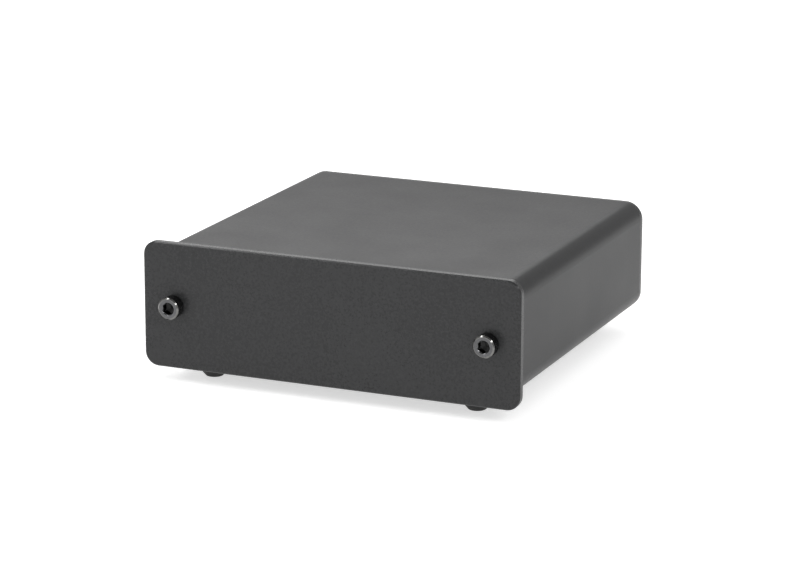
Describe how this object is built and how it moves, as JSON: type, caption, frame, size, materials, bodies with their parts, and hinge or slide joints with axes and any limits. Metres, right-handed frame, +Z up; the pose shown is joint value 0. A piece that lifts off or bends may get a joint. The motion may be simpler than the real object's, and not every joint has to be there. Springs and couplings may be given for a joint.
{
  "type": "phono preamplifier",
  "caption": "Small desk-top phono preamplifier: extruded sleeve, wider front plate held by socket-head screws, phono sockets, power socket and ground terminal behind, rubber feet",
  "frame": {"origin": "on the table, under the middle of the whole object, sockets and screw heads included", "axes": "+Z up, -Y towards the front plate, +X to the right as seen from the front"},
  "size_m": [0.107, 0.1142, 0.038],
  "materials": {
    "sleeve_finish": "dark grey anodised extrusion, satin, fine matt grain",
    "plate_finish": "black anodised, satin",
    "black_screw": "black oxide, slight oil sheen",
    "zinc_screw": "zinc plated",
    "foot_rubber": "matt black rubber",
    "adhesive": "dark foam adhesive",
    "board_laminate": "green solder mask",
    "socket_plastic": "black moulded plastic",
    "nickel_plate": "nickel plated",
    "gold_plate": "gold plated",
    "white_insulator": "white moulded plastic",
    "red_insulator": "red moulded plastic",
    "selector_plastic": "blue moulded plastic",
    "lever_plastic": "white moulded plastic",
    "resistor_lacquer": "blue lacquer",
    "film_plastic": "red moulded case",
    "can_sleeve": "black plastic sleeve on an aluminium can",
    "chip_plastic": "black moulded plastic"
  },
  "bodies": {
    "case": {"amplifier_chip_sockets": "socket_plastic", "amplifier_chips": "chip_plastic", "circuit_board": "board_laminate", "coupling_capacitors": "can_sleeve", "film_capacitors": "film_plastic", "filter_capacitors": "can_sleeve", "foot_adhesive_pads": "adhesive", "foot_front_left": "foot_rubber", "foot_front_right": "foot_rubber", "foot_rear_left": "foot_rubber", "foot_rear_right": "foot_rubber", "front_cap_screw_left": "black_screw", "front_cap_screw_right": "black_screw", "front_plate": "plate_finish", "ground_lock_washer": "nickel_plate", "ground_stud": "gold_plate", "ground_stud_nut": "nickel_plate", "ground_tab": "nickel_plate", "input_block_screw": "zinc_screw", "input_left_contact": "gold_plate", "input_left_ring": "white_insulator", "input_left_shell": "gold_plate", "input_right_contact": "gold_plate", "input_right_ring": "red_insulator", "input_right_shell": "gold_plate", "input_socket_block": "socket_plastic", "output_block_screw": "zinc_screw", "output_left_contact": "gold_plate", "output_left_ring": "white_insulator", "output_left_shell": "gold_plate", "output_right_contact": "gold_plate", "output_right_ring": "red_insulator", "output_right_shell": "gold_plate", "output_socket_block": "socket_plastic", "power_socket_housing": "socket_plastic", "power_socket_leaf": "nickel_plate", "power_socket_pin": "nickel_plate", "rear_cap_screw_left": "black_screw", "rear_cap_screw_right": "black_screw", "rear_plate": "plate_finish", "rectifier_diodes": "chip_plastic", "regulators": "chip_plastic", "resistors": "resistor_lacquer", "selector_housing": "selector_plastic", "sleeve": "sleeve_finish"},
    "ground_clamp_washer": {"ground_clamp_washer": "gold_plate"},
    "ground_thumb_nut": {"ground_thumb_nut": "gold_plate"},
    "selector_lever_1": {"selector_lever_1": "lever_plastic"},
    "selector_lever_2": {"selector_lever_2": "lever_plastic"},
    "selector_lever_3": {"selector_lever_3": "lever_plastic"},
    "selector_lever_4": {"selector_lever_4": "lever_plastic"}
  },
  "joints": [
    {"name": "ground_clamp_travel", "type": "slide", "parent": "case", "child": "ground_clamp_washer", "axis": [0, 1, 0], "range_m": [0, 0.003]},
    {"name": "ground_nut_turn", "type": "hinge", "parent": "ground_clamp_washer", "child": "ground_thumb_nut", "pos_m": [-0.007, 0.05295, 0.0209], "axis": [0, 1, 0], "range_deg": [0, 1543]},
    {"name": "selector_lever_1_slide", "type": "slide", "parent": "case", "child": "selector_lever_1", "axis": [0, 1, 0], "range_m": [0, 0.0014]},
    {"name": "selector_lever_2_slide", "type": "slide", "parent": "case", "child": "selector_lever_2", "axis": [0, 1, 0], "range_m": [0, 0.0014]},
    {"name": "selector_lever_3_slide", "type": "slide", "parent": "case", "child": "selector_lever_3", "axis": [0, 1, 0], "range_m": [0, 0.0014]},
    {"name": "selector_lever_4_slide", "type": "slide", "parent": "case", "child": "selector_lever_4", "axis": [0, 1, 0], "range_m": [0, 0.0014]}
  ],
  "couplings": [
    {"joint": "ground_nut_turn", "follows": "ground_clamp_travel", "rad_per_m": 8976}
  ]
}
